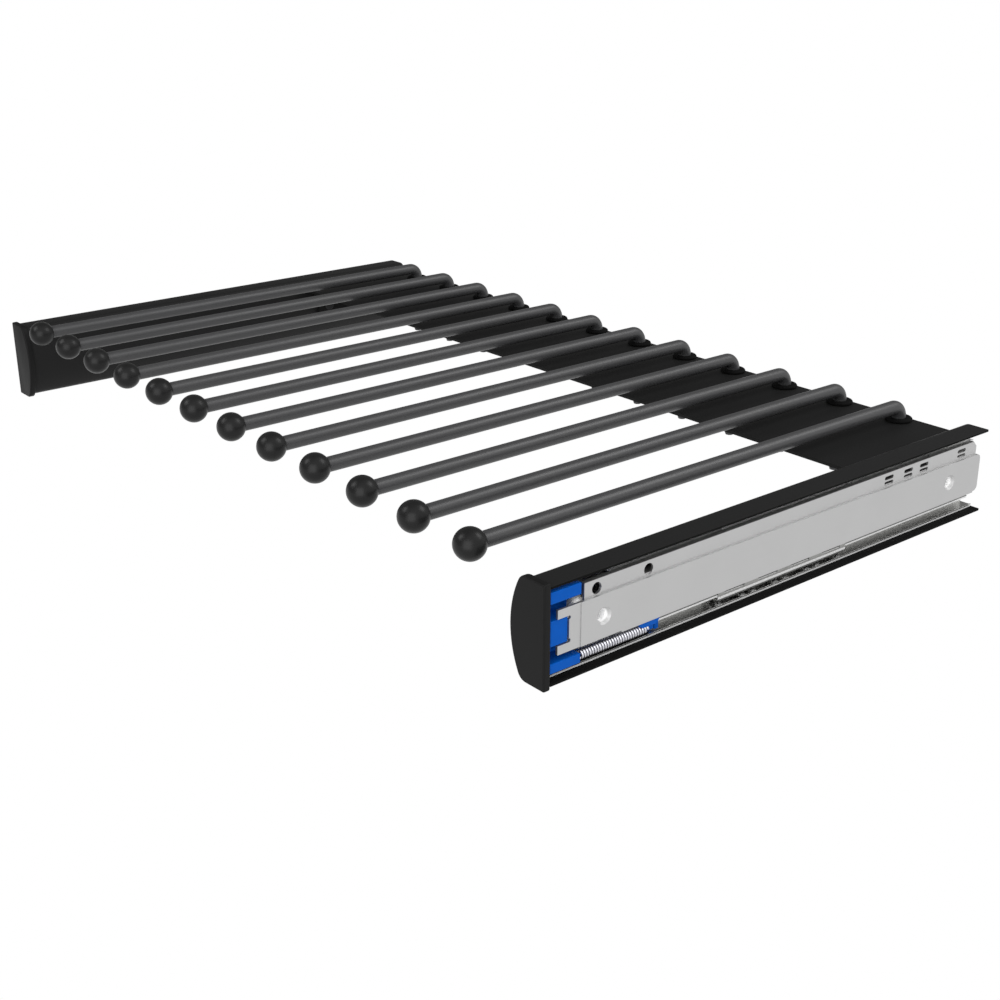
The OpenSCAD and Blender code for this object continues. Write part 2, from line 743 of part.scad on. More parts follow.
// The points along the spring's wire: a helix between two short straight ends
coil_r = (spring_d - spring_wire) / 2;
coil_steps = spring_curls * RINGS_PER_CURL;
coil_l = spring_l - 2 * spring_wire;
function coil_angle(i) = 90 + 360 * i / RINGS_PER_CURL;
function coil_side(i) = [cos(coil_angle(i)), 0, sin(coil_angle(i))];
function coil_point(i) = coil_r * coil_side(i) + [0, spring_wire + coil_l * i / coil_steps, 0];
coil_path = concat([coil_r * coil_side(0)], [for (i = [0:coil_steps]) coil_point(i)],
    [coil_r * coil_side(coil_steps) + [0, spring_l, 0]]);
coil_sides = concat([coil_side(0)], [for (i = [0:coil_steps]) coil_side(i)], [coil_side(coil_steps)]);
function unit(v) = v / norm(v);
function heading(path, i) = i == 0 || i == len(path) - 1 ? [0, 1, 0]
    : unit(unit(path[i + 1] - path[i]) + unit(path[i] - path[i - 1]));
function ring(path, sides, i) = let (u = sides[i], v = unit(cross(heading(path, i), u)))
    [for (k = [0:WIRE_SIDES - 1]) let (a = 360 * k / WIRE_SIDES)
        path[i] + spring_wire / 2 * (cos(a) * u + sin(a) * v)];

module wire_tube(path, sides) {
    n = len(path);
    points = [for (i = [0:n - 1]) each ring(path, sides, i)];
    walls = [for (i = [0:n - 2], k = [0:WIRE_SIDES - 1])
        let (a = i * WIRE_SIDES + k, b = i * WIRE_SIDES + (k + 1) % WIRE_SIDES)
        each [[a, a + WIRE_SIDES, b], [b, a + WIRE_SIDES, b + WIRE_SIDES]]];
    last = (n - 1) * WIRE_SIDES;
    ends = [for (k = [1:WIRE_SIDES - 2]) each [[0, k, k + 1], [last, last + k + 1, last + k]]];
    polyhedron(points = points, faces = concat(walls, ends));
}

module closing_spring(side) {
    gaps = [for (i = [0:len(coil_path) - 1], j = [i + 5:i + 2 * RINGS_PER_CURL])
        if (j < len(coil_path)) norm(coil_path[j] - coil_path[i]) - spring_wire];
    echo(least_gap_of_the_spring_to_itself = min(gaps));
    color("#c8c8c8") on_side(side) translate([wall_x - spring_depth, spring_y, spring_z])
        wire_tube(coil_path, coil_sides);
}

rail(LEFT);  // rail_left
rail(RIGHT);  // rail_right
end_cap(LEFT);  // end_cap_left
end_cap(RIGHT);  // end_cap_right
cross_panel();
rod(1);  // rod_1
rod(2);  // rod_2
rod(3);  // rod_3
rod(4);  // rod_4
rod(5);  // rod_5
rod(6);  // rod_6
rod(7);  // rod_7
rod(8);  // rod_8
rod(9);  // rod_9
rod(10);  // rod_10
rod(11);  // rod_11
rod(12);  // rod_12
rod_ball(1);  // ball_1
rod_ball(2);  // ball_2
rod_ball(3);  // ball_3
rod_ball(4);  // ball_4
rod_ball(5);  // ball_5
rod_ball(6);  // ball_6
rod_ball(7);  // ball_7
rod_ball(8);  // ball_8
rod_ball(9);  // ball_9
rod_ball(10);  // ball_10
rod_ball(11);  // ball_11
rod_ball(12);  // ball_12
rod_collars();
stud_nuts();
panel_bracket(LEFT);  // panel_bracket_left
panel_bracket(RIGHT);  // panel_bracket_right
bracket_screws();
rack_member(LEFT);  // rack_member_left
rack_member(RIGHT);  // rack_member_right
rack_member_screws();
soft_close_housing(LEFT);  // soft_close_housing_left
soft_close_housing(RIGHT);  // soft_close_housing_right
damper(LEFT);  // damper_left
damper(RIGHT);  // damper_right
damper_piston(LEFT);  // damper_piston_left
damper_piston(RIGHT);  // damper_piston_right
latch(LEFT);  // latch_left
latch(RIGHT);  // latch_right
closing_spring(LEFT);  // closing_spring_left
closing_spring(RIGHT);  // closing_spring_right
middle_member(LEFT);  // middle_member_left
middle_member(RIGHT);  // middle_member_right
outer_cage(LEFT);  // outer_cage_left
outer_cage(RIGHT);  // outer_cage_right
inner_cage(LEFT);  // inner_cage_left
inner_cage(RIGHT);  // inner_cage_right
outer_balls();
inner_balls();
cabinet_member(LEFT);  // cabinet_member_left
cabinet_member(RIGHT);  // cabinet_member_right
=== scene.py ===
import json
import math
import bmesh
import bpy
from mathutils import Matrix, Vector

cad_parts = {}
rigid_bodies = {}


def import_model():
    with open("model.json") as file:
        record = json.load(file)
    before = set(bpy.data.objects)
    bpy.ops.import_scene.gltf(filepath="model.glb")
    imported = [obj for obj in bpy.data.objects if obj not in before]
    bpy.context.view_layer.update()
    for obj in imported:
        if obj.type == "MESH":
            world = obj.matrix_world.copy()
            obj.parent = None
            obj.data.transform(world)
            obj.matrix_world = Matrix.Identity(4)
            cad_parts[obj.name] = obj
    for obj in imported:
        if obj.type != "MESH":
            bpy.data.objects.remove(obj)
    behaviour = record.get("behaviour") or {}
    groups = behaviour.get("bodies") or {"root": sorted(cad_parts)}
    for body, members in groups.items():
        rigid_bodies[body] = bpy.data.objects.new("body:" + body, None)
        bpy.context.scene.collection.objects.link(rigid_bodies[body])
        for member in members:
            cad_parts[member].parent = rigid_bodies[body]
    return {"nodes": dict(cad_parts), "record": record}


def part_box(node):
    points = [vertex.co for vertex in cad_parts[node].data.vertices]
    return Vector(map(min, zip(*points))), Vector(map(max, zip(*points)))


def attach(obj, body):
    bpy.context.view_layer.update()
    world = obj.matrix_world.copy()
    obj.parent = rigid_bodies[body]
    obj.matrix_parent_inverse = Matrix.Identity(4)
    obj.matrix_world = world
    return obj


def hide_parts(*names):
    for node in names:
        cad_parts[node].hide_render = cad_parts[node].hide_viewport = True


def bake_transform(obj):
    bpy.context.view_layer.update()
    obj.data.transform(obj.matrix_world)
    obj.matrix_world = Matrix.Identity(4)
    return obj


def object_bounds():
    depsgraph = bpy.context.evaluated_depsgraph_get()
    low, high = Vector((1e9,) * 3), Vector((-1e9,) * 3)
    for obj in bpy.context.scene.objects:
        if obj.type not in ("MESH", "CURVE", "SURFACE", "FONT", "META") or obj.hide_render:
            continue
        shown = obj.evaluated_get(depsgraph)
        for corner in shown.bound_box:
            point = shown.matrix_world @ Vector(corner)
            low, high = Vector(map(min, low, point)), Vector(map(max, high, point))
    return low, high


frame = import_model()
cad_low, cad_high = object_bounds()

# The photographer's camera and studio. The camera stands in front of the rack's right corner and
# looks down on it a little. The floor lies well below, as a wardrobe's floor does, and large soft
# lamps stand to the left, to the right and behind the camera.
CAMERA_PLACE = (0.6996, -0.5252, 0.3099)
CAMERA_AZIMUTH = 50.61
CAMERA_ELEVATION = 21.59
CAMERA_ROLL = -0.12
LENS_MM = 52.69
SENSOR_MM = 36
FLOOR_DROP = 0.8
FLOOR_WIDTH = 160
PAPER_IN_REFLECTIONS = 0.95
PAPER_AS_LIGHT = 0.3
ROOM_DIM = 0.22
ROOM_WHITE = 1.0
WHITE_FROM = -0.3
WHITE_TO = 0.5


def linear(hex_colour):
    """The linear colour that an sRGB hex value stands for."""
    shares = [int(hex_colour[i:i + 2], 16) / 255 for i in (1, 3, 5)]
    return [c / 12.92 if c <= 0.04045 else ((c + 0.055) / 1.055) ** 2.4 for c in shares] + [1]


def add(tree, kind, inputs, **settings):
    """Adds a shader node, with its settings and with its inputs as values or links."""
    new = tree.nodes.new("ShaderNode" + kind)
    for name, value in settings.items():
        setattr(new, name, value)
    for name, value in inputs.items():
        if isinstance(value, bpy.types.NodeSocket):
            tree.links.new(value, new.inputs[name])
        else:
            new.inputs[name].default_value = value
    return new


def calculate(tree, operation, *terms):
    """The result of an operation on numbers and outputs."""
    return add(tree, "Math", dict(enumerate(terms)), operation=operation).outputs[0]


def remap(tree, value, low, high, start=0, end=1, **settings):
    """A value that goes from low to high where another goes from start to end."""
    return add(tree, "MapRange", {"Value": value, "From Min": start, "From Max": end,
                                  "To Min": low, "To Max": high}, **settings).outputs[0]


def empty_tree(owner):
    """The emptied node tree of a material or world."""
    owner.use_nodes = True
    owner.node_tree.nodes.clear()
    return owner.node_tree


turned_by = (Matrix.Rotation(math.radians(CAMERA_AZIMUTH), 4, "Z")
             @ Matrix.Rotation(math.radians(90 - CAMERA_ELEVATION), 4, "X")
             @ Matrix.Rotation(math.radians(CAMERA_ROLL), 4, "Z"))
bpy.ops.object.camera_add(location=CAMERA_PLACE, rotation=turned_by.to_euler())
camera = bpy.context.object
camera.data.lens = LENS_MM
camera.data.sensor_width = SENSOR_MM
camera.data.clip_end = FLOOR_WIDTH
bpy.context.scene.camera = camera
bpy.context.scene.view_settings.view_transform = "Standard"

bpy.ops.mesh.primitive_plane_add(size=FLOOR_WIDTH, location=(0, 0, cad_low.z - FLOOR_DROP))
floor = bpy.context.object
floor.name = "floor"
paper = bpy.data.materials.new("white paper")
tree = empty_tree(paper)
# the camera sees the paper burnt out to white, and the rack gets only a little light from it
seen = add(tree, "LightPath", {}).outputs
level = remap(tree, seen["Is Diffuse Ray"], PAPER_IN_REFLECTIONS, PAPER_AS_LIGHT)
level = calculate(tree, "MAXIMUM", level, seen["Is Camera Ray"])
glow = add(tree, "Emission", {"Color": linear("#ffffff"), "Strength": level})
add(tree, "OutputMaterial", {"Surface": glow.outputs[0]})
floor.data.materials.append(paper)

world = bpy.data.worlds.new("studio")
bpy.context.scene.world = world
tree = empty_tree(world)
# a white wall stands to the right, where the steel reflects it, and the rest of the room is dim
way = add(tree, "TexCoord", {})
axes = add(tree, "SeparateXYZ", {"Vector": way.outputs["Generated"]})
level = remap(tree, axes.outputs["X"], ROOM_DIM, ROOM_WHITE, WHITE_FROM, WHITE_TO,
              interpolation_type="SMOOTHSTEP")
seen = add(tree, "LightPath", {}).outputs
level = calculate(tree, "MAXIMUM", level, seen["Is Camera Ray"])
air = add(tree, "Background", {"Color": linear("#ffffff"), "Strength": level})
add(tree, "OutputWorld", {"Surface": air.outputs[0]})

# bearing from the camera's side, elevation, distance, width, watts
LAMPS = [
    (-81, 41, 1.6, 0.7, 7),
    (93, 43, 1.6, 0.7, 7),
    (-12, 13, 1.6, 1.4, 14),
]
middle = (cad_low + cad_high) / 2
for number, (bearing, height, distance, width, power) in enumerate(LAMPS, 1):
    around = math.radians(CAMERA_AZIMUTH + bearing)
    up = math.radians(height)
    way = Vector((math.sin(around) * math.cos(up), -math.cos(around) * math.cos(up), math.sin(up)))
    bpy.ops.object.light_add(type="AREA", location=middle + distance * way,
                             rotation=way.to_track_quat("Z", "Y").to_euler())
    lamp = bpy.context.object
    lamp.name = f"softbox_{number}"
    lamp.data.size = width
    lamp.data.energy = power

# The two side rails. Each is a rolled steel section, flat above and below and bulging towards the
# clothes, with an open channel outside for the runner and a web between the two. It is powder
# coated satin black after it is cut.
MM = 0.001
TINY = 0.01 * MM
SIDES = ("left", "right")
OTHER_SIDE = Matrix.Scale(-1, 4, (1, 0, 0))
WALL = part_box("cabinet_member_right")[1].x
BOW_RADIUS = 50 * MM
BOW_STEPS = 18
RAIL_CORNER = 5 * MM
CORNER_STEPS = 6
RAIL_SHEET = 1.4 * MM
RAIL_WEB = 1.5 * MM
CHANNEL_DEPTH = 13.2 * MM
# the margin at the rail's top and underside that the channel's painted shade leaves out, and the
# roughness that the channel gets on top
UNSHADED_MARGIN = RAIL_SHEET / 6
DULLNESS_IN_CHANNEL = 0.4


def begin(add_primitive, name, place=(0, 0, 0), spread=(1, 1, 1), turned=(0, 0, 0), **shape):
    """Adds a primitive at its place and size, and opens it for shaping."""
    if bpy.context.mode != "OBJECT":
        bpy.ops.object.mode_set(mode="OBJECT")
    bpy.ops.object.select_all(action="DESELECT")
    add_primitive(location=place, rotation=[math.radians(a) for a in turned], **shape)
    piece = bpy.context.object
    piece.scale = spread
    bpy.ops.object.transform_apply()
    piece.name = piece.data.name = name
    bpy.ops.object.mode_set(mode="EDIT")
    return piece


def pick(piece, part, test):
    """Selects only the edges or points of the open piece that pass a test on their middle."""
    bpy.ops.mesh.select_mode(type=part)
    bpy.ops.mesh.select_all(action="DESELECT")
    shape = bmesh.from_edit_mesh(piece.data)
    for thing in {"VERT": shape.verts, "EDGE": shape.edges}[part]:
        at = thing.co if part == "VERT" else (thing.verts[0].co + thing.verts[1].co) / 2
        if test(at, thing):
            thing.select_set(True)
    bmesh.update_edit_mesh(piece.data)


def push(x=0, y=0, z=0):
    """Extrudes the selection."""
    bpy.ops.mesh.extrude_region_move(TRANSFORM_OT_translate={"value": (x, y, z)})


def turn(degrees, centre, steps, axis=(0, 1, 0)):
    """Extrudes the selection round an axis."""
    bpy.ops.mesh.spin(steps=steps, angle=math.radians(degrees), center=centre, axis=axis)


def close(recalculate=True):
    """Merges the open piece's doubled points and leaves it, with its faces pointing outwards."""
    bpy.ops.mesh.select_all(action="SELECT")
    bpy.ops.mesh.remove_doubles(threshold=TINY / 10)
    if recalculate:
        bpy.ops.mesh.normals_make_consistent(inside=False)
    bpy.ops.object.mode_set(mode="OBJECT")


def hold(piece):
    """Makes a piece the active one and the only one selected."""
    bpy.ops.object.select_all(action="DESELECT")
    piece.select_set(True)
    bpy.context.view_layer.objects.active = piece


def shade(degrees):
    """Smooths the shading of the piece that is held, except at edges sharper than an angle."""
    bpy.ops.object.shade_smooth_by_angle(angle=math.radians(degrees))


def modify(piece, kind, **settings):
    """Gives a piece a modifier and applies it."""
    bpy.context.view_layer.objects.active = piece
    modifier = piece.modifiers.new(kind, kind)
    for name, value in settings.items():
        setattr(modifier, name, value)
    bpy.ops.object.modifier_apply(modifier=modifier.name)


def soften(piece, edge, segments=2, angle=38, smooth=32):
    """Rounds a piece's edges and smooths its shading."""
    modify(piece, "BEVEL", width=edge, segments=segments, limit_method="ANGLE",
           angle_limit=math.radians(angle), use_clamp_overlap=True)
    hold(piece)
    shade(smooth)
    modify(piece, "WEIGHTED_NORMAL", keep_sharp=True)


def again(piece, name, change):
    """A copy of a piece with its own mesh, moved or mirrored."""
    copy = piece.copy()
    copy.data = piece.data.copy()
    copy.name = copy.data.name = name
    bpy.context.collection.objects.link(copy)
    copy.data.transform(change)
    if change.determinant() < 0:
        copy.data.flip_normals()
    return copy


def paint(piece, material):
    """Gives a piece its finish."""
    piece.data.materials.clear()
    piece.data.materials.append(material)


def settle(piece, body, material, slot, *nodes):
    """Gives a finished piece its body and finish, and hides the CAD nodes that it stands for. The slot
    is not used.
    """
    paint(piece, material)
    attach(piece, body)
    if nodes:
        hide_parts(*nodes)


def settle_both(piece, name, body, material, slot, *nodes):
    """Settles a right piece and its mirror image. Braces in the names stand for the side."""
    pieces = {"left": again(piece, name.format("left"), OTHER_SIDE), "right": piece}
    for side, one in pieces.items():
        settle(one, body.format(side), material, slot, *[node.format(side) for node in nodes])


def open_finish(name):
    """A new finish, its empty tree, and the places on a piece that its patterns are drawn by."""
    material = bpy.data.materials.new(name)
    tree = empty_tree(material)
    return material, tree, add(tree, "TexCoord", {}).outputs["Object"]


def grains(tree, place, size, detail):
    """Irregular grains of a size, or marks of a width and a length along the rack's depth."""
    if isinstance(size, tuple):
        width, length = size
        place = add(tree, "Mapping", {"Vector": place, "Scale": (1 / width, 1 / length, 1 / width)})
        place, size = place.outputs[0], 1
    return add(tree, "TexNoise", {"Vector": place, "Scale": 1 / size, "Detail": detail}).outputs["Fac"]


def mixed(tree, share, first, second):
    """A mixture of two colours, each a hex value or an output."""
    first, second = (linear(c) if isinstance(c, str) else c for c in (first, second))
    return add(tree, "Mix", {"Factor": share, "A": first, "B": second},
               data_type="RGBA").outputs["Result"]


def cover(tree, look, height=None, strength=0, depth=0):
    """Ends a finish with its surface, whose relief follows a height."""
    if height is not None:
        bump = add(tree, "Bump", {"Height": height, "Strength": strength, "Distance": depth})
        look["Normal"] = bump.outputs[0]
    add(tree, "OutputMaterial", {"Surface": add(tree, "BsdfPrincipled", look).outputs[0]})


def bow_skin(name, low, high, corner):
    """The skin of the rail's section in a box: flat above and below, bulging inwards."""
    mid_z = (low.z + high.z) / 2
    bow_x = low.x + BOW_RADIUS
    rise = high.z - corner - mid_z
    corner_x = bow_x - math.sqrt((BOW_RADIUS - corner) ** 2 - rise ** 2)
    lean = math.degrees(math.asin(rise / (BOW_RADIUS - corner)))
    skin = begin(bpy.ops.mesh.primitive_plane_add, name, size=1,
                 place=((corner_x + high.x) / 2, (low.y + high.y) / 2, high.z),
                 spread=(high.x - corner_x, high.y - low.y, 1))
    pick(skin, "EDGE", lambda at, edge: at.x < corner_x + TINY)
    turn(90 - lean, (corner_x, 0, mid_z + rise), CORNER_STEPS)
    turn(2 * lean, (bow_x, 0, mid_z), BOW_STEPS)
    turn(90 - lean, (corner_x, 0, mid_z - rise), CORNER_STEPS)
    push(x=high.x - corner_x)
    return skin


# Fine satin powder coat: a slight orange peel about 1.5 mm across, drawn a little coarser than it
# is so that it shows, breaks up the soft highlights and keeps the black from looking like glass.
# Its tone drifts over 60 mm.
rail_low, rail_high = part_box("rail_right")
satin_powder, tree, place = open_finish("satin black powder coat")
peel = grains(tree, place, 1.5 * MM, 2)
tone = mixed(tree, grains(tree, place, 60 * MM, 3), "#191919", "#1d1d1d")
# painted shade: inside the channel, away from the flanges' top and underside, the coat is painted near
# black (#050505) where shade falls, and its roughness is raised there
axes = add(tree, "SeparateXYZ", {"Vector": place}).outputs
shaded_dull_channel = calculate(tree, "GREATER_THAN", calculate(tree, "ABSOLUTE", axes["X"]), WALL - CHANNEL_DEPTH)
below_top = calculate(tree, "LESS_THAN", axes["Z"], rail_high.z - UNSHADED_MARGIN)
above_base = calculate(tree, "GREATER_THAN", axes["Z"], rail_low.z + UNSHADED_MARGIN)
shaded_dull_channel = calculate(tree, "MULTIPLY", shaded_dull_channel, below_top)
shaded_dull_channel = calculate(tree, "MULTIPLY", shaded_dull_channel, above_base)
rough = calculate(tree, "MULTIPLY_ADD", shaded_dull_channel, DULLNESS_IN_CHANNEL, remap(tree, peel, 0.4, 0.52))
cover(tree, {"Base Color": mixed(tree, shaded_dull_channel, tone, "#050505"), "Roughness": rough,
             "Specular IOR Level": 0.12}, peel, strength=0.06, depth=0.1 * MM)

rail = bow_skin("side_rail_right", rail_low, rail_high, RAIL_CORNER)
close(recalculate=False)
modify(rail, "SOLIDIFY", thickness=RAIL_SHEET, offset=-1, use_even_offset=True)
bpy.ops.object.mode_set(mode="EDIT")
web_middle = (rail_low + rail_high) / 2
web_middle.x = WALL - CHANNEL_DEPTH - RAIL_WEB / 2
web_size = rail_high - rail_low
bpy.ops.mesh.primitive_cube_add(size=1, location=web_middle,
                                scale=(RAIL_WEB, web_size.y, web_size.z - RAIL_SHEET))
bpy.ops.object.mode_set(mode="OBJECT")
soften(rail, edge=0.25 * MM, angle=60)
settle_both(rail, "side_rail_{}", "rack", satin_powder, "rail_black", "rail_{}")

# The end caps. Each is moulded in black nylon with a ribbed plug that is pressed into the rail's
# hollow, and its face stands a little proud of the rail all round, with a well rounded rim.
CAP_PROUD = 1.6 * MM


def grained(name, size, detail, rough, look, tones=None, clouds=None, relief=None):
    """A finish with grains of a size and detail, which its roughness and relief follow. Its colour
    lies between two tones, by the same grains or by wider clouds of a size and detail."""
    material, tree, place = open_finish(name)
    grain = grains(tree, place, size, detail)
    look = {**look, "Roughness": remap(tree, grain, *rough)}
    if tones:
        look["Base Color"] = mixed(tree, grains(tree, place, *clouds) if clouds else grain, *tones)
    if relief:
        cover(tree, look, grain, *relief)
    else:
        cover(tree, look)
    return material


# the texture of a spark-eroded tool, in 0.4 mm grains
moulded_nylon = grained("moulded black nylon", 0.4 * MM, 3, (0.48, 0.6), {"Specular IOR Level": 0.14},
                        tones=("#0e0e0e", "#131313"), relief=(0.08, 0.08 * MM))

cap_low, cap_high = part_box("end_cap_right")
cap = bow_skin("cap_right", cap_low, Vector((cap_high.x, rail_low.y, cap_high.z)),
               RAIL_CORNER + CAP_PROUD / 2)
for end_y in (cap_low.y, rail_low.y):
    pick(cap, "VERT", lambda at, point: abs(at.y - end_y) < TINY)
    bpy.ops.mesh.edge_face_add()
pick(cap, "VERT", lambda at, point: at.x > cap_high.x - TINY)
bpy.ops.mesh.edge_face_add()
close()
soften(cap, edge=0.9 * MM, segments=4, angle=40)
settle_both(cap, "cap_{}", "rack", moulded_nylon, "cap_black", "end_cap_{}")

# The twelve rods. Each is an 8 mm steel bar, bent down at the back and turned down to a threaded
# stud, and lacquered satin dark grey. The lacquer's faint draw marks run along the bar.
ROD_COUNT = 12
BEND_RADIUS = 7 * MM
BEND_STEPS = 12
STUD_RADIUS = 3 * MM
THREAD_PITCH = 1 * MM
THREAD_DEPTH = 0.5 * MM


def to_ring(centre, ratio, **way):
    """Extrudes the selected ring and widens or narrows it about its centre."""
    push(**way)
    across = [1 if axis in way else ratio for axis in "xyz"]
    bpy.ops.transform.resize(value=across, center_override=centre)


def settle_row(piece, name, material, slot, node):
    """Settles the first rod's piece on the rack and repeats it on the other rods. Braces in the
    names stand for the rod's number."""
    for number in range(1, ROD_COUNT + 1):
        step = Matrix.Translation((rod_step * (number - 1), 0, 0))
        one = piece if number == 1 else again(piece, name.format(number), step)
        settle(one, "rack", material, slot, node.format(number))


# draw marks 0.5 mm apart and 60 mm long
satin_lacquer = grained("satin dark grey lacquer on steel", (0.5 * MM, 60 * MM), 2, (0.34, 0.46),
                        {"Specular IOR Level": 0.4}, tones=("#373738", "#3f3f40"),
                        relief=(0.05, 0.05 * MM))

rod_low, rod_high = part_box("rod_1")
rod_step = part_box("rod_2")[0].x - rod_low.x
rod_radius = (rod_high.x - rod_low.x) / 2
rod_x = (rod_low.x + rod_high.x) / 2
rod_z = rod_high.z - rod_radius
foot_y = rod_high.y - rod_radius
panel_low, panel_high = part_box("cross_panel")
rod = begin(bpy.ops.mesh.primitive_circle_add, "hanging_rod_1", vertices=40, radius=rod_radius,
            fill_type="NGON", place=(rod_x, rod_low.y, rod_z), turned=(90, 0, 0))
push(y=foot_y - BEND_RADIUS - rod_low.y)
turn(90, (rod_x, foot_y - BEND_RADIUS, rod_z - BEND_RADIUS), BEND_STEPS, axis=(1, 0, 0))
push(z=panel_high.z - rod_z + BEND_RADIUS)
bpy.ops.mesh.inset(thickness=rod_radius - STUD_RADIUS)
ridges = int((panel_high.z - rod_low.z) / THREAD_PITCH) - 1
root_share = 1 - THREAD_DEPTH / STUD_RADIUS
for ridge in range(1, ridges + 1):
    foot = (rod_x, foot_y, panel_high.z - ridge * THREAD_PITCH)
    to_ring(foot, root_share, z=-THREAD_PITCH / 2)
    to_ring(foot, 1 / root_share, z=-THREAD_PITCH / 2)
to_ring((rod_x, foot_y, rod_low.z), root_share, z=rod_low.z - foot[2])
close()
shade(32)
settle_row(rod, "hanging_rod_{}", satin_lacquer, "rod_grey", "rod_{}")

# The balls on the rods' front ends, so that no leg slips off and no cloth is snagged. Each is
# moulded in smooth black plastic with a blind bore, and pressed on the bar.
BORE_SLACK = 0.1 * MM

# a polished tool, with a faint waviness about 3 mm across
gloss_black = grained("smooth moulded black plastic", 3 * MM, 1, (0.3, 0.36),
                      {"Specular IOR Level": 0.18}, tones=("#181818", "#1c1c1c"),
                      relief=(0.03, 0.1 * MM))

ball_low, ball_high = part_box("ball_1")
ball_radius = (ball_high.x - ball_low.x) / 2
ball_middle = (ball_low + ball_high) / 2
ball_middle.y = ball_low.y + ball_radius
mouth = math.sqrt(ball_radius ** 2 - (rod_radius + BORE_SLACK) ** 2)
ball = begin(bpy.ops.mesh.primitive_uv_sphere_add, "rod_ball_1", segments=64, ring_count=40,
             radius=ball_radius, place=ball_middle, turned=(90, 0, 0))
bpy.ops.mesh.select_all(action="SELECT")
bpy.ops.mesh.bisect(plane_co=(0, ball_middle.y + mouth, 0), plane_no=(0, 1, 0), clear_outer=True)
push(y=rod_low.y - ball_middle.y - mouth)
bpy.ops.mesh.edge_face_add()
close()
soften(ball, edge=0.4 * MM, segments=3, angle=45, smooth=45)
settle_row(ball, "rod_ball_{}", gloss_black, "ball_black", "ball_{}")

# The collars at the rods' feet. Each is a fat black rubber ring that is slipped over the bar and
# squeezed on the panel as the stud's nut draws the bar down, so its rim bulges.
COLLAR_RADIUS = 7.75 * MM
COLLAR_FOOT = 7.25 * MM
COLLAR_HEIGHT = 2.3 * MM
COLLAR_DIP = 0.2 * MM
BULGE_OUT = 1.6 * MM
BULGE_UP = 1.4 * MM
BULGE_FROM = -40
BULGE_TO = 90
BULGE_STEPS = 10

# the bloom of moulded rubber, in 1 mm specks
matt_rubber = grained("matt black rubber", 1 * MM, 3, (0.7, 0.85), {"Specular IOR Level": 0.1},
                      tones=("#050505", "#0a0a0a"), relief=(0.05, 0.1 * MM))

collar = begin(bpy.ops.mesh.primitive_circle_add, "foot_ring_1", vertices=64, radius=COLLAR_FOOT,
               place=(rod_x, foot_y, panel_high.z))
bpy.ops.mesh.select_all(action="SELECT")
radius, height = COLLAR_FOOT, 0
for step in range(1, BULGE_STEPS + 1):
    lean = math.radians(BULGE_FROM + (BULGE_TO - BULGE_FROM) * step / BULGE_STEPS)
    next_radius = COLLAR_RADIUS - BULGE_OUT + BULGE_OUT * math.cos(lean)
    next_height = COLLAR_HEIGHT - BULGE_UP + BULGE_UP * math.sin(lean)
    to_ring((rod_x, foot_y, panel_high.z + next_height), next_radius / radius, z=next_height - height)
    radius, height = next_radius, next_height
to_ring((rod_x, foot_y, panel_high.z + height - COLLAR_DIP), (rod_radius + BORE_SLACK) / radius,
        z=-COLLAR_DIP)
push(z=COLLAR_DIP - height)
pick(collar, "EDGE", lambda at, edge: at.z < panel_high.z + TINY)
bpy.ops.mesh.bridge_edge_loops()
close()
shade(60)
settle_row(collar, "foot_ring_{}", matt_rubber, "collar_black", "rod_collars")

# The cross panel. It is a steel sheet folded down at the back and forward again below, so that it
# doesn't sag under the trousers, and powder coated matt black.
PANEL_SHEET = 2 * MM
PANEL_LIP = 15 * MM
FOLD_RADIUS = 2.4 * MM
FOLD_STEPS = 6
WEB_GAP = 0.3 * MM

# fine texture powder, in 0.8 mm grains, whose tone drifts over 90 mm
matt_powder = grained("matt black powder coat", 0.8 * MM, 3, (0.55, 0.7), {"Specular IOR Level": 0.12},
                      tones=("#171717", "#1c1c1c"), clouds=(90 * MM, 2), relief=(0.06, 0.08 * MM))

web_half = rail_low.x - WEB_GAP
fold_y = panel_high.y - FOLD_RADIUS
panel = begin(bpy.ops.mesh.primitive_plane_add, "back_panel", size=1,
              place=(0, (panel_low.y + fold_y) / 2, panel_high.z),
              spread=(panel_high.x - panel_low.x, fold_y - panel_low.y, 1))
pick(panel, "EDGE", lambda at, edge: at.y > fold_y - TINY)
turn(90, (0, fold_y, panel_high.z - FOLD_RADIUS), FOLD_STEPS, axis=(1, 0, 0))
bpy.ops.transform.resize(value=(web_half / panel_high.x, 1, 1), center_override=(0, 0, 0))
push(z=panel_low.z - panel_high.z + 2 * FOLD_RADIUS)
turn(90, (0, fold_y, panel_low.z + FOLD_RADIUS), FOLD_STEPS, axis=(1, 0, 0))
push(y=FOLD_RADIUS - PANEL_LIP)
close(recalculate=False)
modify(panel, "SOLIDIFY", thickness=PANEL_SHEET, offset=-1, use_even_offset=True)
soften(panel, edge=0.3 * MM, angle=60)
settle(panel, "rack", matt_powder, "panel_black", "cross_panel")

# The brackets below the panel that carry it on the rails, their screws, and the nuts on the rods'
# studs. The brackets are pressed steel in the panel's powder coat, and the nuts and screws are
# blackened. Their shapes come from the CAD model, with every edge rounded as a real one is.
FLAT_WITHIN = 0.5


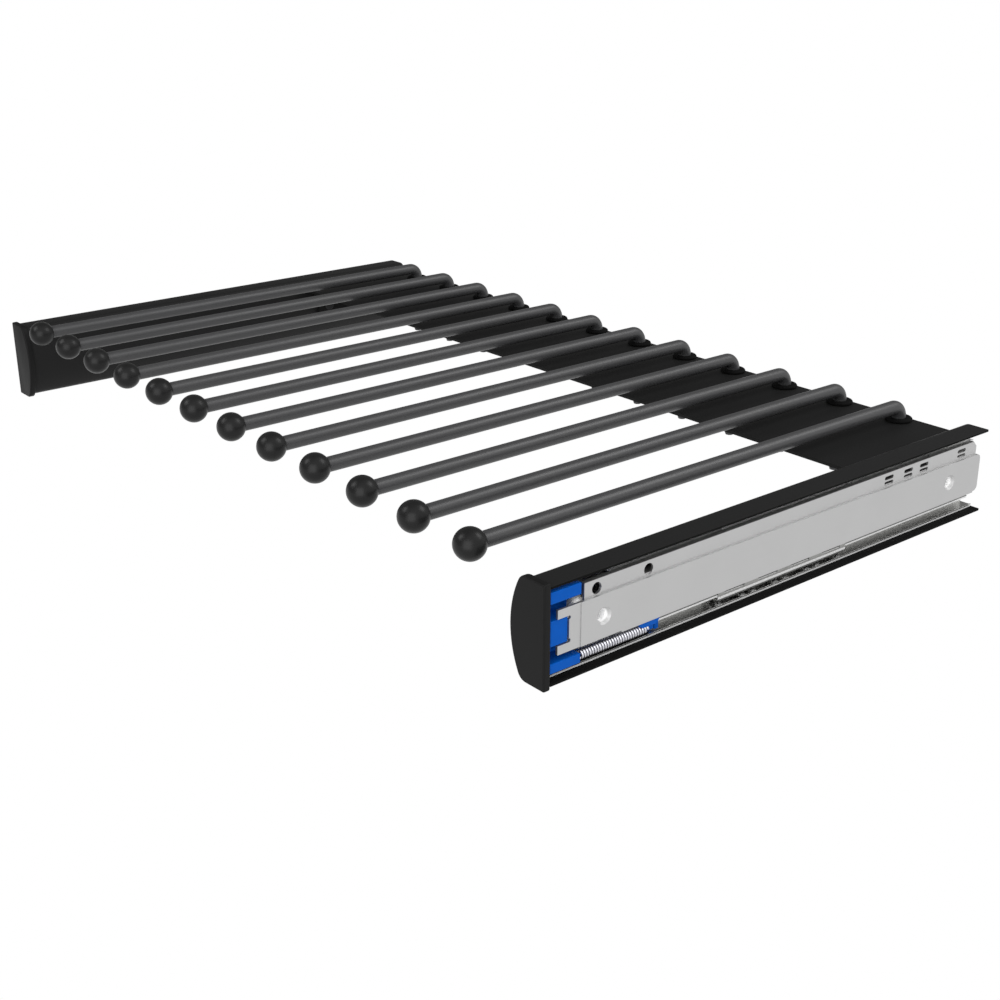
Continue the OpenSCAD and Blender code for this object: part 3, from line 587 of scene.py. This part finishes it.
def dress(node, name, body, material, slot, edge, segments=2, cutters=()):
    """Settles a copy of a CAD node, with its triangles joined into faces, its holes cut and its
    edges rounded."""
    piece = again(frame["nodes"][node], name, Matrix.Identity(4))
    piece.parent = None
    piece.hide_render = piece.hide_viewport = False
    hold(piece)
    bpy.ops.mesh.customdata_custom_splitnormals_clear()
    bpy.ops.object.mode_set(mode="EDIT")
    bpy.ops.mesh.select_all(action="SELECT")
    bpy.ops.mesh.remove_doubles(threshold=TINY / 10)
    bpy.ops.mesh.dissolve_limited(angle_limit=math.radians(FLAT_WITHIN))
    bpy.ops.object.mode_set(mode="OBJECT")
    for cutter in cutters:
        modify(piece, "BOOLEAN", operation="DIFFERENCE", object=cutter, solver="EXACT")
        bpy.data.objects.remove(cutter)
    soften(piece, edge, segments)
    settle(piece, body, material, slot, node)


# mottling of the oxide bath, 2 mm across
black_oxide = grained("black oxide on steel", 2 * MM, 3, (0.35, 0.5),
                      {"Metallic": 0.6, "Specular IOR Level": 0.5}, tones=("#1a1a1b", "#262627"))

for side in SIDES:
    dress(f"panel_bracket_{side}", f"bracket_{side}", "rack", matt_powder, "bracket_black",
          edge=0.4 * MM)
dress("stud_nuts", "nuts_on_studs", "rack", black_oxide, "fastener_black", edge=0.4 * MM)
dress("bracket_screws", "screws_in_brackets", "rack", black_oxide, "fastener_black",
      edge=0.5 * MM, segments=3)

# The rack members: C sections that lie in the rails' channels, open to the wall, rolled from bright
# zinc-plated strip with their flanges' edges turned in to keep the balls. Their tracks carry painted
# shade and their edges a painted highlight, and countersunk screws hold them to the rails' webs.
# the blur at the edges of the painted highlight bands, and the distances in from a member's top and
# underside over which its painted shade fades out
BAND_BLUR = 0.1 * MM
SHADE_SPAN = (7 * MM, 5 * MM)


def greased_zinc(node, name, bright_from, bright_to, shade_colour):
    """A finish for a rolled member. Each of its edges has a painted highlight: a band, given by its
    distances from the member's top or underside, that is less metallic and free of shade. The tracks
    beside it carry patchy painted shade."""
    low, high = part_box(node)
    material, tree, place = open_finish(name)
    # rolling marks 0.6 mm apart and 80 mm long, and patches of painted shade 3 mm across
    marks = grains(tree, place, (0.6 * MM, 80 * MM), 3)
    shade_patches = grains(tree, place, 3 * MM, 3)
    level = add(tree, "SeparateXYZ", {"Vector": place}).outputs["Z"]
    off_middle = calculate(tree, "SUBTRACT", level, (low.z + high.z) / 2)
    off_middle = calculate(tree, "ABSOLUTE", off_middle)
    inwards = calculate(tree, "SUBTRACT", (high.z - low.z) / 2, off_middle)
    # painted highlight: along each edge a band is kept free of painted shade and made less metallic,
    # so that it looks lit
    begins = remap(tree, inwards, 0, 1, bright_from - BAND_BLUR, bright_from)
    ends = remap(tree, inwards, 0, 1, bright_to + BAND_BLUR, bright_to - BAND_BLUR)
    bright = calculate(tree, "MULTIPLY", begins, ends)
    # painted shade: patchy darkening of the tracks near the member's top and underside, where the
    # channels enclose them
    painted_shade = remap(tree, shade_patches, 0.8, 1)
    painted_shade = calculate(tree, "MULTIPLY", painted_shade, remap(tree, inwards, 0, 1, *SHADE_SPAN))
    painted_shade = calculate(tree, "MULTIPLY", painted_shade, calculate(tree, "SUBTRACT", 1, bright))
    cover(tree, {"Base Color": mixed(tree, painted_shade, "#f0f0f0", shade_colour),
                 "Metallic": remap(tree, bright, 1, 0.35),
                 "Roughness": remap(tree, marks, 0.22, 0.3)}, marks, strength=0.03, depth=0.03 * MM)
    return material


rack_zinc = greased_zinc("rack_member_right", "bright zinc with greased outer tracks",
                         0, 1 * MM, "#b8b8b6")
for side in SIDES:
    dress(f"rack_member_{side}", f"rack_channel_{side}", "rack", rack_zinc, "runner_steel",
          edge=0.5 * MM, segments=3)
dress("rack_member_screws", "screws_in_rails", "rack", rack_zinc, "screw_steel", edge=0.15 * MM)

# The middle members, which run on the rack members' balls and carry the inner balls. They are rolled
# from a thinner strip, and carry darker painted shade in their tracks.
middle_zinc = greased_zinc("middle_member_right", "bright zinc with greased inner tracks",
                           0, 0.95 * MM, "#6a6a68")
for side in SIDES:
    dress(f"middle_member_{side}", f"middle_channel_{side}", "middle_members", middle_zinc,
          "runner_steel", edge=0.25 * MM)

# The cages: thin zinc-plated strips, stamped with a pocket for each ball. They lie loose in the tracks
# between the members, where they keep the polished bearing balls apart. Each has a band of painted
# highlight near its edges, with painted shade round it.

# a lapping haze of 0.3 mm
bearing_steel = grained("polished bearing steel", 0.3 * MM, 2, (0.08, 0.16),
                        {"Base Color": linear("#e2e2e4"), "Metallic": 1})
for cage in ("outer", "inner"):
    cage_zinc = greased_zinc(f"{cage}_cage_right", f"bright strip of the {cage} cages",
                             0.9 * MM, 2.2 * MM, "#8a8a88")
    for side in SIDES:
        dress(f"{cage}_cage_{side}", f"{cage}_ball_cage_{side}", f"{cage}_cages", cage_zinc,
              "runner_steel", edge=0.1 * MM)
for row in ("outer_balls", "inner_balls"):
    paint(frame["nodes"][row], bearing_steel)

# The cabinet members: the runners' outer plates, which are screwed to the wardrobe's walls. They
# have a fork in front, a raised strip with sight holes and slots above, and the inner ball tracks.
# the depths below the plate's top between which its painted shade fades in
TOP_SHADE_FROM = 0.1 * MM
TOP_SHADE_TO = 0.3 * MM
# the depths from the wall between which the bore's painted light fades in
BORE_FROM = 1.2 * MM
BORE_TO = 2 * MM
CUTTER_LENGTH = 3 * MM
DISH_RADIUS = 4.3 * MM
# in mm, the depth of a dish's rim, and the depths and radii of its inside and outside
DISH_SET_IN = 0.02
DISH_SHAPE = [(0.15, 4.15), (1.9, 2.75), (2.2, 2.6), (6.2, 2.6), (6.2, 3.1), (2.3, 3.3), (0.6, 4.35)]

# the wall plates are plated last, which leaves them duller, with marks 0.6 mm apart and 80 mm long
# and a tone that drifts over 25 mm
satin_zinc, tree, place = open_finish("satin zinc on cold-rolled steel")
marks = grains(tree, place, (0.6 * MM, 80 * MM), 3)
tone = mixed(tree, grains(tree, place, 25 * MM, 3), "#bababa", "#c0c0c0")
# painted shade: the strip's upper edge, which lies under the rail's top flange, is painted a darker
# zinc
plate_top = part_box("cabinet_member_right")[1].z
level = add(tree, "SeparateXYZ", {"Vector": place}).outputs["Z"]
shaded_top_edge = remap(tree, level, 0, 1, plate_top - TOP_SHADE_TO, plate_top - TOP_SHADE_FROM)
cover(tree, {"Base Color": mixed(tree, shaded_top_edge, tone, "#a0a0a0"), "Metallic": 1,
             "Roughness": remap(tree, marks, 0.38, 0.46)}, marks, strength=0.03, depth=0.03 * MM)

# painted light: the bore is painted white and made less metallic than the dish round it, so that it
# looks brightly lit, and its roughness varies in 0.5 mm flecks
dish_zinc, tree, place = open_finish("zinc in a pressed dish with its bore painted white")
fleck = grains(tree, place, 0.5 * MM, 2)
across = add(tree, "SeparateXYZ", {"Vector": place}).outputs["X"]
painted_light_in_bore = remap(tree, calculate(tree, "ABSOLUTE", across), 0, 1, WALL - BORE_FROM, WALL - BORE_TO)
cover(tree, {"Base Color": mixed(tree, painted_light_in_bore, "#bebebe", "#ffffff"),
             "Metallic": remap(tree, painted_light_in_bore, 0.6, 0.2), "Roughness": remap(tree, fleck, 0.56, 0.64)})

cutters = {"left": [], "right": []}
screws = next(mount for mount in frame["record"]["mounts"] if mount["name"] == "wall_screws_right")
half_way = Vector((0, screws["dims"]["spacing_x_mm"] / 2 * MM, 0))
for number, hole in ((1, Vector(screws["pos_m"]) - half_way), (2, Vector(screws["pos_m"]) + half_way)):
    cutter = begin(bpy.ops.mesh.primitive_cylinder_add, "cutter", vertices=64, radius=DISH_RADIUS,
                   depth=CUTTER_LENGTH, place=hole, turned=(0, 90, 0))
    close()
    cutters["right"].append(cutter)
    cutters["left"].append(again(cutter, "cutter_left", OTHER_SIDE))
    dish = begin(bpy.ops.mesh.primitive_circle_add, f"screw_dish_right_{number}", vertices=48,
                 radius=DISH_RADIUS, place=hole - Vector((DISH_SET_IN * MM, 0, 0)), turned=(0, 90, 0))
    bpy.ops.mesh.select_all(action="SELECT")
    depth, radius = DISH_SET_IN, DISH_RADIUS / MM
    for next_depth, next_radius in DISH_SHAPE:
        to_ring(hole, next_radius / radius, x=(depth - next_depth) * MM)
        depth, radius = next_depth, next_radius
    pick(dish, "EDGE", lambda at, edge: len(edge.link_faces) == 1)
    bpy.ops.mesh.bridge_edge_loops()
    close()
    shade(40)
    settle_both(dish, f"screw_dish_{{}}_{number}", "wall_members", dish_zinc, "runner_steel")
for side in SIDES:
    dress(f"cabinet_member_{side}", f"wall_plate_{side}", "wall_members", satin_zinc, "runner_steel",
          edge=0.4 * MM, segments=3, cutters=cutters[side])

# The soft-close units: a blue acetal housing in each rack member's front end, with a damper, a
# latch that the wall plate's catch takes along, and a closing spring between the two.

# flow marks 4 mm across
blue_acetal = grained("moulded blue acetal", 4 * MM, 2, (0.34, 0.42), {"Specular IOR Level": 0.08},
                      tones=("#0450a8", "#0656b6"))
for side in SIDES:
    dress(f"soft_close_housing_{side}", f"blue_housing_{side}", "rack", blue_acetal,
          "soft_close_blue", edge=0.4 * MM)
    dress(f"damper_{side}", f"damper_tube_{side}", "rack", matt_rubber, "damper_black",
          edge=0.3 * MM)
    paint(frame["nodes"][f"damper_piston_{side}"], bearing_steel)

# The latches: small blue acetal levers that the wall plate's catch takes along. A wedge-shaped nose
# reaches over the spring's end, and an arm leads back to a foot on the damper's piston.
latch_low, latch_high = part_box("latch_right")
latch_width = (latch_high.x - latch_low.x) / MM
latch_height = (latch_high.z - latch_low.z) / MM


def in_latch(inwards, along, down):
    """The point at distances in mm in from the latch's outer, front, upper corner."""
    return Vector((latch_high.x, latch_low.y, latch_high.z)) + Vector((-inwards, along, -down)) * MM


def block(start, end):
    """Adds a block between two points of the latch."""
    start, end = in_latch(*start), in_latch(*end)
    bpy.ops.mesh.primitive_cube_add(size=1, location=(start + end) / 2,
                                    scale=[abs(length) for length in end - start])


def shave(point, way):
    """Cuts the selected block along a plane through a point of the latch, and closes it again."""
    bpy.ops.mesh.bisect(plane_co=in_latch(*point), plane_no=way, clear_outer=True, use_fill=True)


latch = begin(bpy.ops.mesh.primitive_cube_add, "blue_latch_right", size=1)
bpy.ops.mesh.delete(type="VERT")
# the nose, with a sloping underside and end
block((0, 0, 0), (2.1, 13.4, 2.5))
shave((0, 0, 0.35), (0, -2.15, -9.3))
bpy.ops.mesh.select_linked()
shave((0, 13.4, 0), (0, 2.1, -2.4))
# the neck, the body, the arm and the foot
block((1.5, 7.2, 0.8), (3.6, 11.4, 3))
block((2.8, 7, 2.1), (5.9, 11.8, 6.4))
block((5, 10.5, 2.1), (5.9, 17.4, 3.5))
block((5, 15, 2.1), (latch_width, 17.4, latch_height))
close()
soften(latch, edge=0.25 * MM)
settle_both(latch, "blue_latch_{}", "latch_{}", blue_acetal, "soft_close_blue", "latch_{}")

# The closing springs: cold-drawn spring wire in 27 close turns, between the housing and the latch.
# Each is wound a little narrower than its room, so that it stays clear of the wall plate.
SPRING_WIRE = 1.2 * MM
SPRING_TURNS = 27
COIL_STEPS = 20
COIL_SLACK = 0.15 * MM

# die marks of the drawn wire, 0.2 mm
spring_wire = grained("drawn spring wire", 0.2 * MM, 2, (0.24, 0.34),
                      {"Base Color": linear("#c8c8ce"), "Metallic": 1})

spring_low, spring_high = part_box("closing_spring_right")
coil_middle = (spring_low + spring_high) / 2
coil_middle.y = spring_low.y + SPRING_WIRE / 2
coil_radius = (spring_high.x - spring_low.x - SPRING_WIRE) / 2 - COIL_SLACK
coil_pitch = (spring_high.y - spring_low.y - SPRING_WIRE) / SPRING_TURNS
spring = begin(bpy.ops.mesh.primitive_circle_add, "spring_right", vertices=10, radius=SPRING_WIRE / 2,
               place=(coil_radius, 0, 0))
bpy.ops.object.mode_set(mode="OBJECT")
modify(spring, "SCREW", axis="Y", angle=math.radians(360), screw_offset=coil_pitch,
       iterations=SPRING_TURNS, steps=COIL_STEPS, render_steps=COIL_STEPS)
spring.data.transform(Matrix.Translation(coil_middle))
bpy.ops.object.mode_set(mode="EDIT")
bpy.ops.mesh.select_all(action="SELECT")
bpy.ops.mesh.normals_make_consistent(inside=False)
bpy.ops.object.mode_set(mode="OBJECT")
shade(60)
springs = {"right": spring, "left": again(spring, "spring_left", OTHER_SIDE)}
for side, coil in springs.items():
    paint(coil, spring_wire)
    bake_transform(coil)
    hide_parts(f"closing_spring_{side}")
